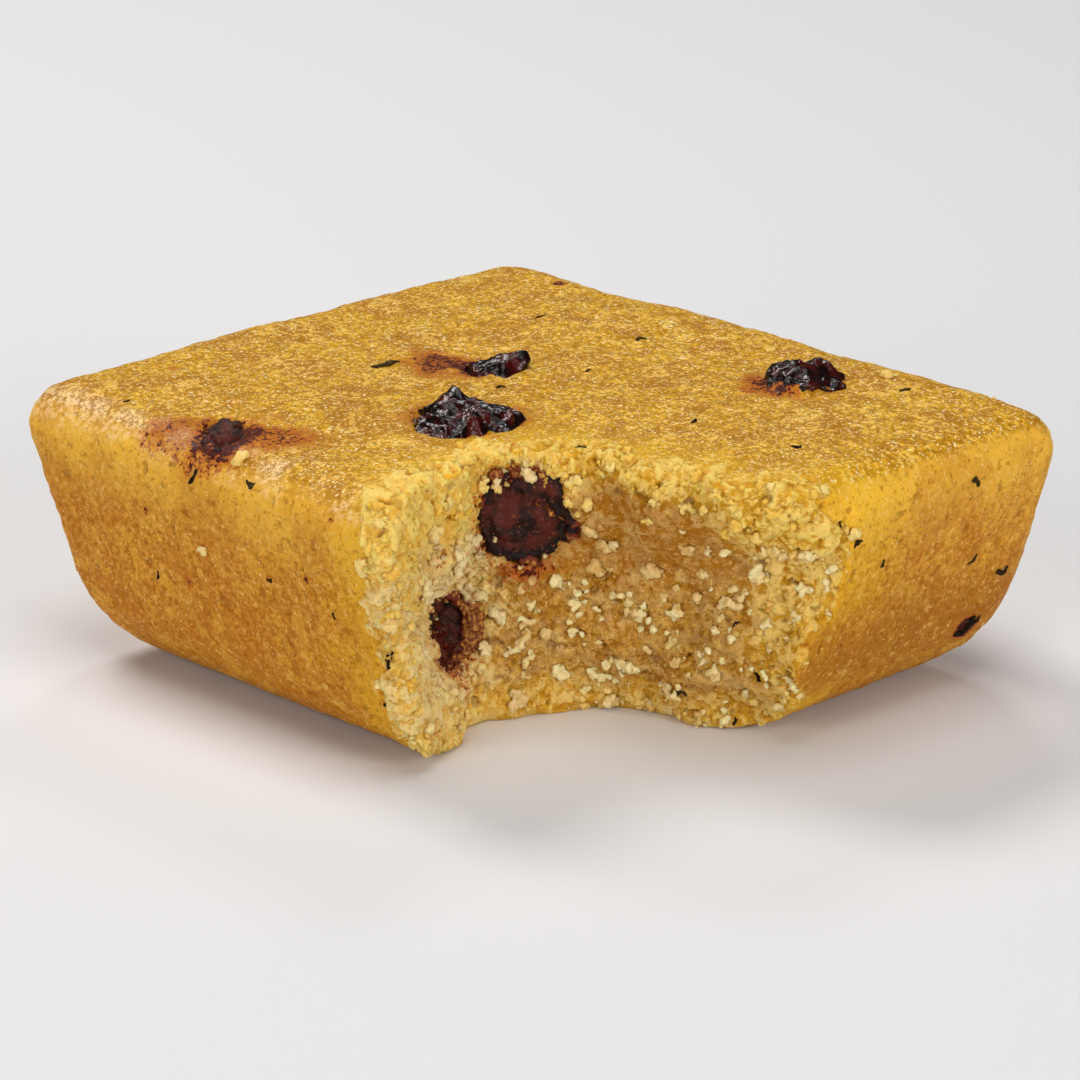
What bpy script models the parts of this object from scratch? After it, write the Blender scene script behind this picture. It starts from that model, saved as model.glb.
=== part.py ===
# Chocolate chip blondie bite: a small baked bar with drafted sides and one corner bitten off.
#
# The frame is +Z up with its origin on the flat underside, below the middle of the bar. X runs along the
# longer side, and the bitten corner is the one at +X, -Y. Everything is in metres.

import math

import bmesh
import bpy
from mathutils import Euler, Vector, noise

MM = 0.001

# The bar, across its widest level just below the top edge.
BAR_LENGTH = 56.0 * MM
BAR_WIDTH = 48.5 * MM
BAR_HEIGHT = 19.3 * MM
END_DRAFT = 5.0 * MM      # how far each end comes in from top to bottom, from the tin's slope
SIDE_DRAFT = 2.9 * MM     # the same for each long side
CORNER_RADIUS = 3.0 * MM  # the upright corners, seen from above
TOP_ROUND = 3.8 * MM
BOTTOM_ROUND = 6.0 * MM
TOP_CROWN = 0.35 * MM     # the top rises this much towards its middle

# How finely the bar is divided.
CORNER_STEPS = 6
SIDE_STEPS = 18
ROUND_STEPS = 5
WALL_LEVELS = 5
TOP_RINGS = 8

# Uneven baked surface: long waves in the sides, and a shallow dimple and pimple relief.
WAVE_SIZE = 15.0 * MM
WAVE_DEPTH = 0.32 * MM
PIMPLE_SIZE = 4.2 * MM
PIMPLE_DEPTH = 0.16 * MM

# The bite, in plan and in millimetres, from the +X face round to the -Y face: where its wall stands at the
# top of the bar, and where it stands underneath.
BITE_STOPS = (
    ((34.0, 4.4), (34.0, 0.2)),
    ((27.5, 3.0), (24.0, 0.4)),
    ((26.5, -0.8), (20.2, 0.9)),
    ((24.0, -4.0), (16.2, -0.8)),
    ((18.8, -5.8), (12.4, -1.4)),
    ((12.8, -7.2), (9.0, -4.5)),
    ((8.6, -9.8), (6.4, -8.7)),
    ((7.8, -13.9), (5.6, -11.4)),
    ((8.2, -18.2), (7.6, -15.5)),
    ((9.8, -23.2), (9.4, -20.4)),
    ((13.0, -30.0), (11.6, -30.0)),
)
LIP_DROP = 3.2 * MM       # the broken crust slopes forward over this height
LIP_REACH = 1.7 * MM      # and this far, where it is widest
LIP_MIDDLE = 3.4          # the stop, counted along the bite, where the lip is widest
LIP_SPREAD = 2.0          # and how many stops it takes to fade
# Where the bite goes in further, or where a clump stands out: middle, radius and depth in millimetres.
HOLLOWS = (
    ((4.6, -13.2, 8.2), 3.6, 2.7),
    ((8.2, -16.8, 9.0), 3.4, 1.1),
    ((21.0, -2.0, 12.6), 4.6, 1.6),
    ((12.0, -4.5, 12.5), 4.5, 0.9),
    ((24.8, 0.6, 7.6), 4.0, -1.1),
    ((16.0, -2.0, 6.0), 4.2, -0.8),
    ((12.0, -20.4, 3.2), 2.4, -1.3),
)
TOOTH_WIDTH = 6.5 * MM    # the shallow scallops that single teeth leave
TOOTH_DEPTH = 0.25 * MM
CRAG_SIZE = 3.4 * MM
CRAG_DEPTH = 0.75 * MM
CRUMB_SIZE = 1.5 * MM
CRUMB_DEPTH = 0.42 * MM

BITE_STEPS = 76
BITE_LEVELS = 24
BITE_MARGIN = 0.9 * MM     # the fine relief runs on past the top and the underside by this much
BITE_OVERSHOOT = 4.0 * MM  # and the cutter by this much

SEAT_GAP = 0.3 * MM        # between a chip and the pocket it sits in

BAR_COLOUR = (0.62, 0.36, 0.075, 1.0)
CHIP_COLOUR = (0.035, 0.011, 0.007, 1.0)

# Chips that lie in the top: place across the top, size along and across its own length, thickness,
# how far it stands above the crust, and the turn of its length from +X, in degrees.
TOP_CHIPS = {
    "chip_top_left": ((-8.8, -20.5), (4.2, 5.4, 2.6), 0.2, 45),
    "chip_top_back": ((-5.5, 1.3), (4.5, 4.4, 2.8), 1.1, 45),
    "chip_top_front": ((1.0, -8.0), (7.8, 7.8, 3.2), 1.1, 45),
    "chip_top_right": ((11.2, 14.3), (6.0, 6.2, 3.2), 1.4, 45),
}
# Chips that the bite has laid bare: middle, and size along X, Y and Z.
BITE_CHIPS = {
    "chip_bite_large": ((7.5, -8.7, 15.2), (7.0, 7.0, 7.2)),
    "chip_bite_small": ((4.0, -13.0, 7.1), (4.8, 4.8, 5.0)),
}
CHIP_SEGMENTS = 20
CHIP_RINGS = 12
CHIP_LUMP_SIZE = 2.2 * MM
TOP_CHIP_LUMPS = 0.65 * MM
BITE_CHIP_LUMPS = 0.3 * MM


def clear_scene():
    for obj in list(bpy.data.objects):
        bpy.data.objects.remove(obj)


def material(name, colour, roughness):
    made = bpy.data.materials.new(name)
    made.use_nodes = True
    shader = made.node_tree.nodes["Principled BSDF"]
    shader.inputs["Base Color"].default_value = colour
    shader.inputs["Roughness"].default_value = roughness
    shader.inputs["Metallic"].default_value = 0.0
    return made


def add_object(name, mesh, surface=None):
    obj = bpy.data.objects.new(name, mesh)
    bpy.context.scene.collection.objects.link(obj)
    if surface:
        mesh.materials.append(surface)
    return obj


def mesh_from(name, points, faces):
    """A mesh with its faces turned outwards."""
    mesh = bpy.data.meshes.new(name)
    mesh.from_pydata([tuple(p) for p in points], [], faces)
    work = bmesh.new()
    work.from_mesh(mesh)
    bmesh.ops.recalc_face_normals(work, faces=work.faces)
    work.to_mesh(mesh)
    work.free()
    return mesh


def bumps(place, size, seed):
    """Smooth noise between about -1 and 1, with features of the given size."""
    return noise.noise(Vector(place) / size + Vector((seed, 2.3 * seed, -1.7 * seed)))


def eased(share):
    share = min(max(share, 0.0), 1.0)
    return share * share * (3.0 - 2.0 * share)


def rounded_outline(half_x, half_y, radius):
    """Points round a rectangle with round corners, anticlockwise, the same number at any size."""
    points = []
    corners = ((1, -1, -90), (1, 1, 0), (-1, 1, 90), (-1, -1, 180))
    for index, (side_x, side_y, start) in enumerate(corners):
        centre = Vector((side_x * (half_x - radius), side_y * (half_y - radius)))
        arc = []
        for step in range(CORNER_STEPS + 1):
            angle = math.radians(start + 90 * step / CORNER_STEPS)
            arc.append(centre + radius * Vector((math.cos(angle), math.sin(angle))))
        next_x, next_y, next_start = corners[(index + 1) % 4]
        angle = math.radians(next_start)
        next_centre = Vector((next_x * (half_x - radius), next_y * (half_y - radius)))
        following = next_centre + radius * Vector((math.cos(angle), math.sin(angle)))
        points += arc
        points += [arc[-1].lerp(following, step / SIDE_STEPS) for step in range(1, SIDE_STEPS)]
    return points


def bar_levels():
    """(height, how far the outline comes in there beyond the draft), from the underside up."""
    levels = []
    for step in range(ROUND_STEPS + 1):
        angle = 0.5 * math.pi * step / ROUND_STEPS
        levels.append((BOTTOM_ROUND * (1 - math.cos(angle)), BOTTOM_ROUND * (1 - math.sin(angle))))
    low, high = BOTTOM_ROUND, BAR_HEIGHT - TOP_ROUND
    levels += [(low + (high - low) * step / WALL_LEVELS, 0.0) for step in range(1, WALL_LEVELS)]
    for step in range(ROUND_STEPS + 1):
        angle = 0.5 * math.pi * step / ROUND_STEPS
        levels.append((high + TOP_ROUND * math.sin(angle), TOP_ROUND * (1 - math.cos(angle))))
    return levels


def level_outline(height, inset):
    below_top = 1.0 - height / BAR_HEIGHT
    half_x = BAR_LENGTH / 2 - END_DRAFT * below_top - inset
    half_y = BAR_WIDTH / 2 - SIDE_DRAFT * below_top - inset
    return rounded_outline(half_x, half_y, CORNER_RADIUS - 0.42 * inset)


def baked_relief(place, outward):
    """Moves a point of the bar's surface in or out. The underside stays flat."""
    lift = eased(place.z / (0.5 * BOTTOM_ROUND))
    wave = WAVE_DEPTH * bumps(place, WAVE_SIZE, 3.1)
    pimple = PIMPLE_DEPTH * bumps(place, PIMPLE_SIZE, 7.7)
    return place + outward * (lift * (wave + pimple))


def bar_mesh():
    levels = bar_levels()
    rings = [[Vector((p.x, p.y, height)) for p in level_outline(height, inset)] for height, inset in levels]
    rim = rings[-1]
    for step in range(1, TOP_RINGS):
        share = 1.0 - step / TOP_RINGS
        rise = TOP_CROWN * (1.0 - share * share)
        rings.append([Vector((p.x * share, p.y * share, p.z + rise)) for p in rim])
    count = len(rim)
    points = [p for ring in rings for p in ring] + [Vector((0, 0, BAR_HEIGHT + TOP_CROWN))]
    top_centre = len(points) - 1
    faces = [list(range(count))]
    for ring in range(len(rings) - 1):
        for step in range(count):
            following = (step + 1) % count
            faces.append([ring * count + step, ring * count + following,
                          (ring + 1) * count + following, (ring + 1) * count + step])
    last = (len(rings) - 1) * count
    faces += [[last + step, last + (step + 1) % count, top_centre] for step in range(count)]
    mesh = mesh_from("bar", points, faces)
    for vertex, outward in [(v, v.normal.copy()) for v in mesh.vertices]:
        vertex.co = baked_relief(vertex.co, outward)
    return mesh


def along_stops(at, level):
    """The plan place at a stop number that need not be whole, on a smooth curve through the stops."""
    last = len(BITE_STOPS) - 1
    index = min(int(at), last - 1)
    share = at - index
    before, start, end, after = (Vector(BITE_STOPS[min(max(i, 0), last)][level])
                                 for i in range(index - 1, index + 3))
    bend = 2 * before - 5 * start + 4 * end - after
    twist = 3 * (start - end) + after - before
    return MM * (start + 0.5 * share * (end - before + share * (bend + share * twist)))


def wall_plan(at, height):
    """The bitten wall in plan, at a stop number and a height, before its relief."""
    upward = min(max(height / BAR_HEIGHT, 0.0), 1.0)
    return along_stops(at, 1).lerp(along_stops(at, 0), upward)


def lip(at, height):
    """How far the broken crust stands forward of the wall."""
    below = (BAR_HEIGHT - height) / (2.0 * LIP_DROP)
    if not 0.0 < below < 1.0:
        return 0.0
    return LIP_REACH * math.sin(math.pi * below) * math.exp(-((at - LIP_MIDDLE) / LIP_SPREAD) ** 2)


def bite_point(at, height):
    """A point on the bitten wall, with its hollows, tooth marks, crags and crumbs."""
    plan = wall_plan(at, height)
    onward = wall_plan(at + 0.02, height) - wall_plan(at - 0.02, height)
    inward = Vector((onward.y, -onward.x, 0.0)).normalized()
    smooth = Vector((plan.x, plan.y, height))
    depth = -lip(at, height)
    for middle, radius, hollow in HOLLOWS:
        away = (smooth - MM * Vector(middle)).length / (MM * radius)
        depth += MM * hollow * math.exp(-away ** 2)
    depth += TOOTH_DEPTH * math.cos(2.0 * math.pi * (plan.x - plan.y) / TOOTH_WIDTH)
    depth += CRAG_DEPTH * bumps(smooth, CRAG_SIZE, 1.9)
    depth += CRUMB_DEPTH * bumps(smooth, CRUMB_SIZE, 5.3)
    return smooth + inward * depth


def bite_cutter():
    """The space that the bite took: its inner wall is the bitten surface, and the rest is outside the bar."""
    first, last = 0.05, len(BITE_STOPS) - 1.05
    places = [first + (last - first) * step / BITE_STEPS for step in range(BITE_STEPS + 1)]
    low, high = -BITE_MARGIN, BAR_HEIGHT + BITE_MARGIN
    heights = [low + (high - low) * step / BITE_LEVELS for step in range(BITE_LEVELS + 1)]
    heights = [-BITE_OVERSHOOT] + heights + [BAR_HEIGHT + BITE_OVERSHOOT]
    outer = Vector((BAR_LENGTH, -BAR_WIDTH, 0.0))
    points = []
    for height in heights:
        points += [bite_point(at, height) for at in places]
        points.append(outer + Vector((0.0, 0.0, height)))
    count = len(places) + 1
    faces = [list(range(count)), list(range(len(points) - count, len(points)))]
    for level in range(len(heights) - 1):
        for step in range(count):
            following = (step + 1) % count
            faces.append([level * count + step, level * count + following,
                          (level + 1) * count + following, (level + 1) * count + step])
    cutter = add_object("bite_cutter", mesh_from("bite_cutter", points, faces))
    cutter.hide_render = True
    cutter.display_type = "WIRE"
    return cutter


def chip_mesh(name, size, lumps, seed, grow=0.0):
    """A lump of half-melted chocolate about its own middle: a flattened ball with soft lumps."""
    mesh = bpy.data.meshes.new(name)
    work = bmesh.new()
    bmesh.ops.create_uvsphere(work, u_segments=CHIP_SEGMENTS, v_segments=CHIP_RINGS, radius=1.0)
    for vertex in work.verts:
        outward = vertex.co.normalized()
        place = Vector((outward.x * size[0], outward.y * size[1], outward.z * size[2])) / 2
        lump = lumps * bumps(place, CHIP_LUMP_SIZE, seed)
        vertex.co = place + outward * (lump + grow)
    work.to_mesh(mesh)
    work.free()
    return mesh


def cut(obj, cutter, name):
    modifier = obj.modifiers.new(name, "BOOLEAN")
    modifier.operation = "DIFFERENCE"
    modifier.solver = "EXACT"
    modifier.object = cutter


def seat_chip(name, place, size, turn, lumps, seed, surface, bar):
    """Adds a chip and cuts the pocket that it sits in."""
    size = [side * MM for side in size]
    chip = add_object(name, chip_mesh(name, size, lumps, seed), surface)
    pocket = add_object(name + "_pocket", chip_mesh(name + "_pocket", size, lumps, seed, SEAT_GAP))
    pocket.hide_render = True
    pocket.display_type = "WIRE"
    for obj in (chip, pocket):
        obj.location = place
        obj.rotation_euler = Euler((0.0, 0.0, math.radians(turn)))
    cut(bar, pocket, name)
    return chip


def main():
    clear_scene()
    baked = material("baked_crumb", BAR_COLOUR, 0.6)
    chocolate = material("chocolate", CHIP_COLOUR, 0.35)
    bar = add_object("blondie", bar_mesh(), baked)
    bite = bite_cutter()
    cut(bar, bite, "bite")
    for seed, (name, (spot, size, stands, turn)) in enumerate(TOP_CHIPS.items(), start=1):
        place = Vector((spot[0] * MM, spot[1] * MM, BAR_HEIGHT + (stands - size[2] / 2) * MM))
        seat_chip(name, place, size, turn, TOP_CHIP_LUMPS, 3.7 * seed, chocolate, bar)
    for seed, (name, (middle, size)) in enumerate(BITE_CHIPS.items(), start=14):
        place = Vector(middle) * MM
        chip = seat_chip(name, place, size, 0.0, BITE_CHIP_LUMPS, 3.7 * seed, chocolate, bar)
        cut(chip, bite, "bite")
    for obj in bpy.data.objects:
        if not obj.hide_render:
            obj.data.shade_smooth()


main()
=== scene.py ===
# The looks of a chocolate chip blondie bite: its baked crust, bitten crumb, melted chips and flecks.
#
# Everything stands in the part's own frame. Places and sizes are in millimetres, except those of the
# camera, the lights and the floor, which are in metres.

import math

import bmesh
import bpy
import numpy as np
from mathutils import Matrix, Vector
from mathutils.bvhtree import BVHTree
from mathutils.kdtree import KDTree

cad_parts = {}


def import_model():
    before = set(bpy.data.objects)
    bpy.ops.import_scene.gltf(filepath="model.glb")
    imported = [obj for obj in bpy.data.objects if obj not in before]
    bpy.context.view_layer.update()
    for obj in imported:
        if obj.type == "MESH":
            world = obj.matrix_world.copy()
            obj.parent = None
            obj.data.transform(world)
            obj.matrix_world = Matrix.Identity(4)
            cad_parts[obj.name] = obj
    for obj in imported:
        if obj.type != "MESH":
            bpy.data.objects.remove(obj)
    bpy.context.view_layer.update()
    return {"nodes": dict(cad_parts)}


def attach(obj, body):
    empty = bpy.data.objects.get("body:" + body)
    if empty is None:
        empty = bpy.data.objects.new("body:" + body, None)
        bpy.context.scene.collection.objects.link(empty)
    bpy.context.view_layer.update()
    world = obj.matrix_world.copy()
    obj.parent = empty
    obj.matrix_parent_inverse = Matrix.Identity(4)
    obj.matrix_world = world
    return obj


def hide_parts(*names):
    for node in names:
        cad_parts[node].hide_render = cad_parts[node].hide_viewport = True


MM = 0.001

# The bar's own numbers, as its solid has them.
LENGTH, WIDTH, HEIGHT = 56.0, 48.5, 19.3
END_DRAFT, SIDE_DRAFT = 5.0, 2.9
CORNER, TOP_ROUND, BOTTOM_ROUND, CROWN = 3.0, 3.8, 6.0, 0.35
CORNER_LOSS = 0.42  # share of the inset that the corner's radius loses
UNDER = 0.4  # depth that a point on the underside counts as having

# How fine the meshes are, and the smallest island that stays in them, in cubic millimetres.
SKIN_VOXEL = 0.24
SKIN_LEAST = 1.0
CLUMP_VOXEL = 0.096
CLUMP_LEAST = 0.004
CHIP_VOXEL = 0.13

# The bite lies to the right of BITE_LEFT and in front of BITE_BACK. Points deeper than WALL_DEPTH under
# the unbitten surface are on its wall, distances from the wall are measured up to FAR, and the mesh is
# finer up to RIM from it.
BITE_LEFT = -6.0
BITE_BACK = 14.0
WALL_DEPTH = 0.6
FAR = 9.0
RIM = 1.8

LUMP_COUNT = 700
SMALL_CLUMP_COUNT = 220
CRUMB_GRAIN_COUNT = 550
CRUST_GRAIN_COUNT = 90
HIDDEN_FLECK_COUNT = 18

TOP_CHIPS = ("chip_top_left", "chip_top_back", "chip_top_front", "chip_top_right")
BITE_CHIPS = ("chip_bite_large", "chip_bite_small")
RIGHT = np.array((0.70, 0.71, 0.0))  # across the bitten corner
INWARD = np.array((-0.71, 0.70, 0.0))  # from the bitten corner towards the middle of the bar

# How far the fillings of the chip pockets reach past the chips, and how far they are moved.
TOP_FILLING = ((0.55, 0.55, 0.1), (0, 0, -0.55))
BITE_FILLING = ((0.45, 0.45, 0.45), 0.75 * INWARD)

# Melted chocolate that has spread into the crust: middle, radii along RIGHT, along INWARD and upright,
# and strength.
STAINS = (
    ((-8.2, -20.8, 19.0), (4.4, 4.4, 3.0), 1.0),
    ((-5.2, -19.2, 19.2), (4.2, 3.0, 3.0), 0.6),
    ((-12.0, -21.8, 18.4), (3.2, 2.6, 3.0), 0.55),
    ((-9.2, -0.6, 19.4), (3.0, 4.0, 2.0), 0.85),
    ((-6.6, 0.6, 19.4), (3.0, 3.4, 2.0), 0.95),
    ((1.1, -8.0, 19.5), (5.3, 5.0, 2.0), 0.8),
    ((11.0, 13.0, 19.5), (4.2, 4.0, 2.0), 0.85),
    ((7.4, -9.2, 15.0), (4.7, 4.4, 4.7), 1.1),
    ((6.0, -9.6, 17.4), (2.6, 3.4, 2.2), 0.8),
    ((8.0, -8.4, 10.9), (3.0, 3.0, 1.7), 0.7),
    ((5.2, -13.4, 6.4), (2.9, 2.9, 4.0), 1.1),
    ((7.6, -16.7, 13.8), (1.0, 1.0, 1.0), 0.5),
    ((24.0, 16.7, 4.5), (1.7, 1.4, 1.3), 1.3),
    ((-10.3, -22.7, 9.0), (0.6, 0.6, 0.7), 0.55),
    ((-21.6, -13.9, 19.4), (0.9, 0.9, 0.6), 0.5),
    ((-18.3, 20.1, 19.2), (0.7, 0.8, 0.6), 0.9),
    ((2.2, -23.2, 12.4), (0.45, 0.45, 0.5), 0.7),
    ((5.1, -23.5, 17.2), (0.4, 0.4, 0.4), 0.6),
    ((-13.8, -23.3, 13.2), (0.5, 0.5, 0.5), 0.6),
)


def smooth_step(low, high, value):
    share = np.clip((value - low) / (high - low), 0.0, 1.0)
    return share * share * (3.0 - 2.0 * share)


# Noise


# Large odd numbers that scatter neighbouring places, seeds and parts, and those that mix the result, each
# with the shift that goes before it.
PLACE_FACTORS = (73856093, 19349663, 83492791)
SEED_FACTOR = 668265263
PART_FACTOR = 374761393
MIXERS = ((2246822519, 15), (3266489917, 13))

WAVE_HEIGHT = 1.7  # brings the smooth noise to between about -1 and 1
BUMP_RADIUS = 0.8  # against a distance of about 1 between neighbouring bumps
RELAX_SHARE = 0.6  # how much of the way a point moves in one round


def scattered(place, seed, part):
    """Even numbers from 0 to 1 for whole-number places, the same each run."""
    along_x, along_y, along_z = (place[..., k] * PLACE_FACTORS[k] for k in range(3))
    n = along_x ^ along_y ^ along_z
    n = (n ^ (seed * SEED_FACTOR + part * PART_FACTOR)) & 0xFFFFFFFF
    for factor, shift in MIXERS:
        n = ((n ^ (n >> shift)) * factor) & 0xFFFFFFFF
    return ((n ^ (n >> 16)) & 0xFFFFFF) / float(0xFFFFFF)


def waves(points, size, seed):
    """Smooth noise between about -1 and 1."""
    place = points / size
    base = np.floor(place).astype(np.int64)
    share = place - base
    ease = share**3 * (share * (share * 6 - 15) + 10)
    total = np.zeros(len(points))
    for corner in np.ndindex(2, 2, 2):
        corner = np.array(corner)
        slope = np.stack([scattered(base + corner, seed, k) for k in range(3)], 1) * 2 - 1
        weight = np.where(corner, ease, 1 - ease).prod(1)
        total += weight * (slope * (share - corner)).sum(1)
    return total * WAVE_HEIGHT


def ragged(points, size, seed):
    """Noise with finer noise on it, for torn outlines."""
    finer = 0.5 * waves(points, size * 0.42, seed + 1)
    finest = 0.3 * waves(points, size * 0.2, seed + 2)
    return waves(points, size, seed) + finer + finest


def warped(points, amount, size, seed):
    """Points shifted up to this far by smooth noise, so that what is made from them looks less even."""
    return points + amount * np.stack([waves(points, size, seed + k) for k in range(3)], 1)


def pebbles(points, size, seed):
    """Round bumps from 0 to 1 round scattered spots, and a number from 0 to 1 that is each bump's own."""
    place = points / size
    base = np.floor(place).astype(np.int64)
    nearest = np.full(len(points), np.inf)
    own = np.zeros(len(points))
    for neighbour in np.ndindex(3, 3, 3):
        cell = base + np.array(neighbour) - 1
        spot = cell + 0.15 + 0.7 * np.stack([scattered(cell, seed, k) for k in range(3)], 1)
        away = np.linalg.norm(place - spot, axis=1)
        closer = away < nearest
        nearest = np.where(closer, away, nearest)
        own = np.where(closer, scattered(cell, seed, 7), own)
    return np.sqrt(np.maximum(1 - (nearest / BUMP_RADIUS) ** 2, 0)), own


# Meshes


def points_of(mesh):
    points = np.empty(len(mesh.vertices) * 3, np.float32)
    mesh.vertices.foreach_get("co", points)
    return points.reshape(-1, 3).astype(float) / MM


def set_points(mesh, points):
    mesh.vertices.foreach_set("co", (points * MM).astype(np.float32).ravel())
    mesh.update()


def normals_of(mesh):
    normals = np.empty(len(mesh.vertices) * 3, np.float32)
    mesh.vertex_normals.foreach_get("vector", normals)
    return normals.reshape(-1, 3).astype(float)


def edges_of(mesh):
    edges = np.empty(len(mesh.edges) * 2, np.int32)
    mesh.edges.foreach_get("vertices", edges)
    return edges.reshape(-1, 2)


def relaxed(mesh, points, weight, rounds):
    """Points moved towards the middle of their neighbours, as far as their weight says."""
    edges = edges_of(mesh)
    count = np.bincount(edges.ravel(), minlength=len(points))[:, None]
    for _ in range(rounds):
        total = np.stack([
            np.bincount(edges[:, 0], points[edges[:, 1], k], len(points))
            + np.bincount(edges[:, 1], points[edges[:, 0], k], len(points)) for k in range(3)], 1)
        points = points + RELAX_SHARE * weight[:, None] * (total / np.maximum(count, 1) - points)
    return points


def store(mesh, name, values):
    attribute = mesh.attributes.new(name, "FLOAT", "POINT")
    attribute.data.foreach_set("value", np.asarray(values, np.float32))


def stored(mesh, name):
    values = np.empty(len(mesh.vertices), np.float32)
    mesh.attributes[name].data.foreach_get("value", values)
    return values.astype(float)


def welded(mesh):
    """A copy with one vertex at each place."""
    work = bmesh.new()
    work.from_mesh(mesh)
    bmesh.ops.remove_doubles(work, verts=work.verts, dist=1e-6)
    copy = bpy.data.meshes.new("welded")
    work.to_mesh(copy)
    work.free()
    return copy


def piece(name, mesh):
    obj = bpy.data.objects.new(name, mesh)
    bpy.context.scene.collection.objects.link(obj)
    return obj


def remeshed(meshes, voxel):
    """One even skin round all these closed meshes."""
    work = bmesh.new()
    for mesh in meshes:
        work.from_mesh(mesh)
    joined = bpy.data.meshes.new("joined")
    work.to_mesh(joined)
    work.free()
    source = piece("remesh_source", joined)
    modifier = source.modifiers.new("skin", "REMESH")
    modifier.mode = "VOXEL"
    modifier.voxel_size = voxel * MM
    graph = bpy.context.evaluated_depsgraph_get()
    made = bpy.data.meshes.new_from_object(source.evaluated_get(graph))
    bpy.data.objects.remove(source)
    made.materials.clear()
    return made


def without_specks(mesh, least):
    """The mesh without its inner hollows and its islands of less than this many cubic millimetres."""
    edges = edges_of(mesh)
    island = np.arange(len(mesh.vertices))
    before = None
    while before is None or (before != island).any():
        before = island.copy()
        low = np.minimum(island[edges[:, 0]], island[edges[:, 1]])
        np.minimum.at(island, edges[:, 0], low)
        np.minimum.at(island, edges[:, 1], low)
        island = island[island]
    mesh.calc_loop_triangles()
    corners = np.empty(len(mesh.loop_triangles) * 3, np.int32)
    mesh.loop_triangles.foreach_get("vertices", corners)
    one, two, three = points_of(mesh)[corners.reshape(-1, 3)].transpose(1, 0, 2)
    volume = np.bincount(island[corners[::3]], (one * np.cross(two, three)).sum(1) / 6, len(island))
    work = bmesh.new()
    work.from_mesh(mesh)
    work.verts.ensure_lookup_table()
    gone = [work.verts[index] for index in np.flatnonzero(volume[island] < least)]
    bmesh.ops.delete(work, geom=gone, context="VERTS")
    work.to_mesh(mesh)
    work.free()
    return mesh


def resized(mesh, grow, shift):
    """A copy made this much larger on every side, and moved, in millimetres."""
    copy = mesh.copy()
    points = points_of(copy)
    middle = (points.min(0) + points.max(0)) / 2
    half = (points.max(0) - points.min(0)) / 2
    set_points(copy, middle + (points - middle) * (1 + np.array(grow) / half) + np.array(shift))
    return copy


def tree_of(*meshes):
    """A search tree over the surfaces of these meshes, in millimetres."""
    points, faces = [], []
    for mesh in meshes:
        start = len(points)
        points.extend(Vector(p) for p in points_of(mesh))
        faces.extend(tuple(start + v for v in f.vertices) for f in mesh.polygons)
    return BVHTree.FromPolygons(points, faces)


# The bar


def depth_in_bar(points):
    """How far each point lies under the surface that the bar had before it was bitten, in millimetres."""
    x, y, z = points.T
    low = 1 - z / HEIGHT
    near_foot = np.clip(BOTTOM_ROUND - z, 0, BOTTOM_ROUND)
    near_top = np.clip(z - (HEIGHT - TOP_ROUND), 0, TOP_ROUND)
    inset = BOTTOM_ROUND - np.sqrt(BOTTOM_ROUND**2 - near_foot**2)
    inset = inset + TOP_ROUND - np.sqrt(TOP_ROUND**2 - near_top**2)
    radius = CORNER - CORNER_LOSS * inset
    across = np.abs(x) - (LENGTH / 2 - END_DRAFT * low - inset - radius)
    along = np.abs(y) - (WIDTH / 2 - SIDE_DRAFT * low - inset - radius)
    outside = np.hypot(np.maximum(across, 0), np.maximum(along, 0))
    side = radius - outside - np.minimum(np.maximum(across, along), 0)
    share = np.maximum(np.abs(x) / (LENGTH / 2), np.abs(y) / (WIDTH / 2))
    top = HEIGHT + CROWN * (1 - share**2) - z
    return np.minimum(np.minimum(side, top), z + UNDER)


def from_wall(points, depth):
    """Distance of each point from the bitten wall."""
    wall = np.flatnonzero((depth > WALL_DEPTH) & (points[:, 2] > 0.1))[::3]
    tree = KDTree(len(wall))
    for index in wall:
        tree.insert(Vector(points[index]), int(index))
    tree.balance()
    away = np.full(len(points), FAR)
    near = (points[:, 0] > BITE_LEFT) & (points[:, 1] < BITE_BACK)
    for index in np.flatnonzero(near):
        away[index] = min(tree.find(Vector(points[index]))[2], FAR)
    return np.where(depth > WALL_DEPTH, 0.0, away)


def wall_share(points):
    """1 on the bitten wall and 0 on the baked surface."""
    return smooth_step(0.35, 0.9, depth_in_bar(points)) * smooth_step(0.05, 0.5, points[:, 2])


def creamy_at(points):
    """Where the crumb is driest and palest: inside the left ridge, round the small cut chip."""
    _, y, z = (points + 0.9 * waves(points, 2.4, 47)[:, None]).T
    across = smooth_step(-9.6, -11.6, y) * smooth_step(-20.6, -18.6, y)
    return across * smooth_step(15.6, 13.8, z) * smooth_step(2.0, 5.0, z)


def stain_at(points):
    """How much melted chocolate has soaked in at each point."""
    torn = 0.26 * ragged(points, 1.9, 31)
    total = np.zeros(len(points))
    for middle, radii, strength in STAINS:
        away = points - np.array(middle)
        axes = np.stack([away @ RIGHT / radii[0], away @ INWARD / radii[1], away[:, 2] / radii[2]], 1)
        total = np.maximum(total, strength * smooth_step(1.1, 0.25, np.linalg.norm(axes, axis=1) + torn))
    return total


def split_wall(mesh, points):
    """Divides the faces of the bitten wall and its rim once more."""
    depth = depth_in_bar(points)
    deep = (from_wall(points, depth) < RIM) & (points[:, 2] > -0.1)
    work = bmesh.new()
    work.from_mesh(mesh)
    work.verts.ensure_lookup_table()
    edges = [e for e in work.edges if deep[e.verts[0].index] and deep[e.verts[1].index]]
    bmesh.ops.subdivide_edges(work, edges=edges, cuts=1, use_grid_fill=True)
    work.to_mesh(mesh)
    work.free()


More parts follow.
